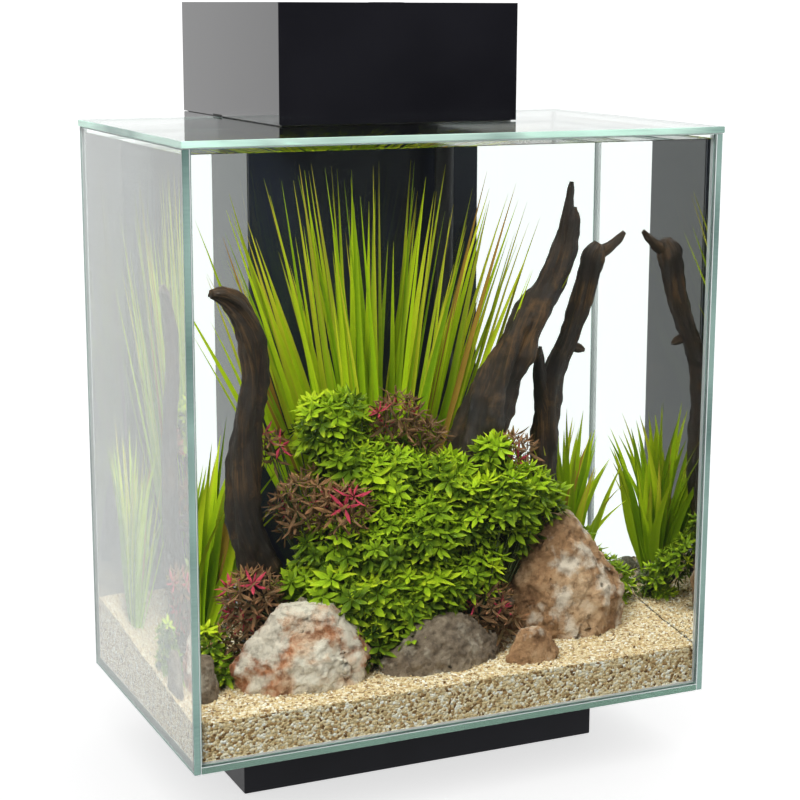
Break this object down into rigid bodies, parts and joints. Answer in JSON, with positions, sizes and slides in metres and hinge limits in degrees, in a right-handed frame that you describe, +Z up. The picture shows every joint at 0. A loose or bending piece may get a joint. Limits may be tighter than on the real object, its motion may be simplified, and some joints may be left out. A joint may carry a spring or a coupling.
{
  "type": "aquarium on stand",
  "caption": "Rectangular glass aquarium on a low plinth, with a rear filter column, a fold-back lamp hood over an opening in the glass top, and a planted gravel bed with rocks and driftwood.",
  "frame": {"origin": "on the floor under the middle of the glass tank, at the middle of the footprint's glass part", "axes": "+X to the right as the tank is looked at from the front, +Y to the back, towards the filter column, +Z up"},
  "size_m": [0.432, 0.3554, 0.597],
  "materials": {
    "mat_rubber": "matte",
    "plinth_black": "satin",
    "foam_pad": "matte",
    "clear_glass": "gloss",
    "silicone": "satin",
    "panel_black": "satin",
    "hood_black": "gloss",
    "frame_black": "satin",
    "pin_steel": "satin",
    "bumper_rubber": "matte",
    "touch_ring": "gloss",
    "lamp_plastic": "satin",
    "board_white": "satin",
    "led_amber": "gloss",
    "lens_clear": "gloss",
    "filter_smoke": "gloss",
    "basket_grey": "satin",
    "foam_grey": "matte",
    "carbon_mesh": "matte",
    "ceramic_cream": "matte",
    "tube_black": "gloss",
    "lever_grey": "satin",
    "rotor_grey": "satin",
    "ceramic_white": "polished",
    "gravel_tan": "matte",
    "rock_red": "matte",
    "rock_brown": "matte",
    "pebble_grey": "matte",
    "wood_dark": "matte",
    "grass_green": "satin",
    "leaf_green": "satin"
  },
  "bodies": {
    "tank": {"base_mat": "mat_rubber", "plinth": "plinth_black", "tank_pad": "foam_pad", "bottom_pane": "clear_glass", "front_pane": "clear_glass", "back_pane": "clear_glass", "left_pane": "clear_glass", "right_pane": "clear_glass", "glass_top": "clear_glass", "silicone_seams": "silicone", "back_panel": "panel_black", "hood_frame": "frame_black", "hinge_pins": "pin_steel", "filter_case": "filter_smoke", "intake_tube": "tube_black", "strainer": "tube_black", "intake_sponge": "foam_grey", "motor_housing": "lamp_plastic", "impeller_shaft": "ceramic_white", "gravel_bed": "gravel_tan", "rock_left": "rock_red", "rock_middle": "rock_brown", "rock_right": "rock_red", "rock_small_right": "rock_red", "rock_small_left": "rock_brown", "pebbles": "pebble_grey", "driftwood_left": "wood_dark", "driftwood_tall": "wood_dark", "driftwood_forked": "wood_dark", "tall_grass": "grass_green", "grass_right": "grass_green", "grass_left": "grass_green", "leafy_bush": "leaf_green", "leafy_bush_right": "leaf_green", "sprigs": "leaf_green"},
    "hood": {"hood_shell": "hood_black", "hood_bumpers": "bumper_rubber", "touch_pad": "touch_ring", "lamp_housing": "lamp_plastic", "lamp_brackets": "lamp_plastic", "lamp_screws": "pin_steel", "led_board": "board_white", "leds": "led_amber", "lamp_lens": "lens_clear"},
    "column_cover": {"rear_cover": "hood_black", "cable_grommet": "bumper_rubber"},
    "filter_lid": {"filter_lid": "basket_grey"},
    "media": {"media_basket": "basket_grey", "foam_block": "foam_grey", "carbon_bag": "carbon_mesh", "ceramic_rings": "ceramic_cream"},
    "impeller": {"impeller": "rotor_grey"},
    "flow_lever": {"flow_lever": "lever_grey"}
  },
  "joints": [
    {"name": "hood_hinge", "type": "hinge", "parent": "tank", "child": "hood", "pos_m": [0, 0.2215, 0.5062], "axis": [-1, 0, 0], "range_deg": [0, 90]},
    {"name": "column_cover_slide", "type": "slide", "parent": "tank", "child": "column_cover", "axis": [0, 1, 0], "range_m": [0, 0.1]},
    {"name": "media_lift", "type": "slide", "parent": "tank", "child": "media", "axis": [0, 0, 1], "range_m": [0, 0.03]},
    {"name": "filter_lid_lift", "type": "slide", "parent": "tank", "child": "filter_lid", "axis": [0, 0, 1], "range_m": [0, 0.035]},
    {"name": "impeller_spin", "type": "hinge", "parent": "tank", "child": "impeller", "pos_m": [0.061, 0.15, 0.33], "axis": [0, 0, 1], "continuous": true},
    {"name": "flow_lever_turn", "type": "hinge", "parent": "tank", "child": "flow_lever", "pos_m": [0.061, 0.132, 0.517], "axis": [0, 0, 1], "range_deg": [0, 90]}
  ],
  "couplings": [
    {"joint": "filter_lid_lift", "follows": "media_lift", "ratio": 1.15}
  ]
}
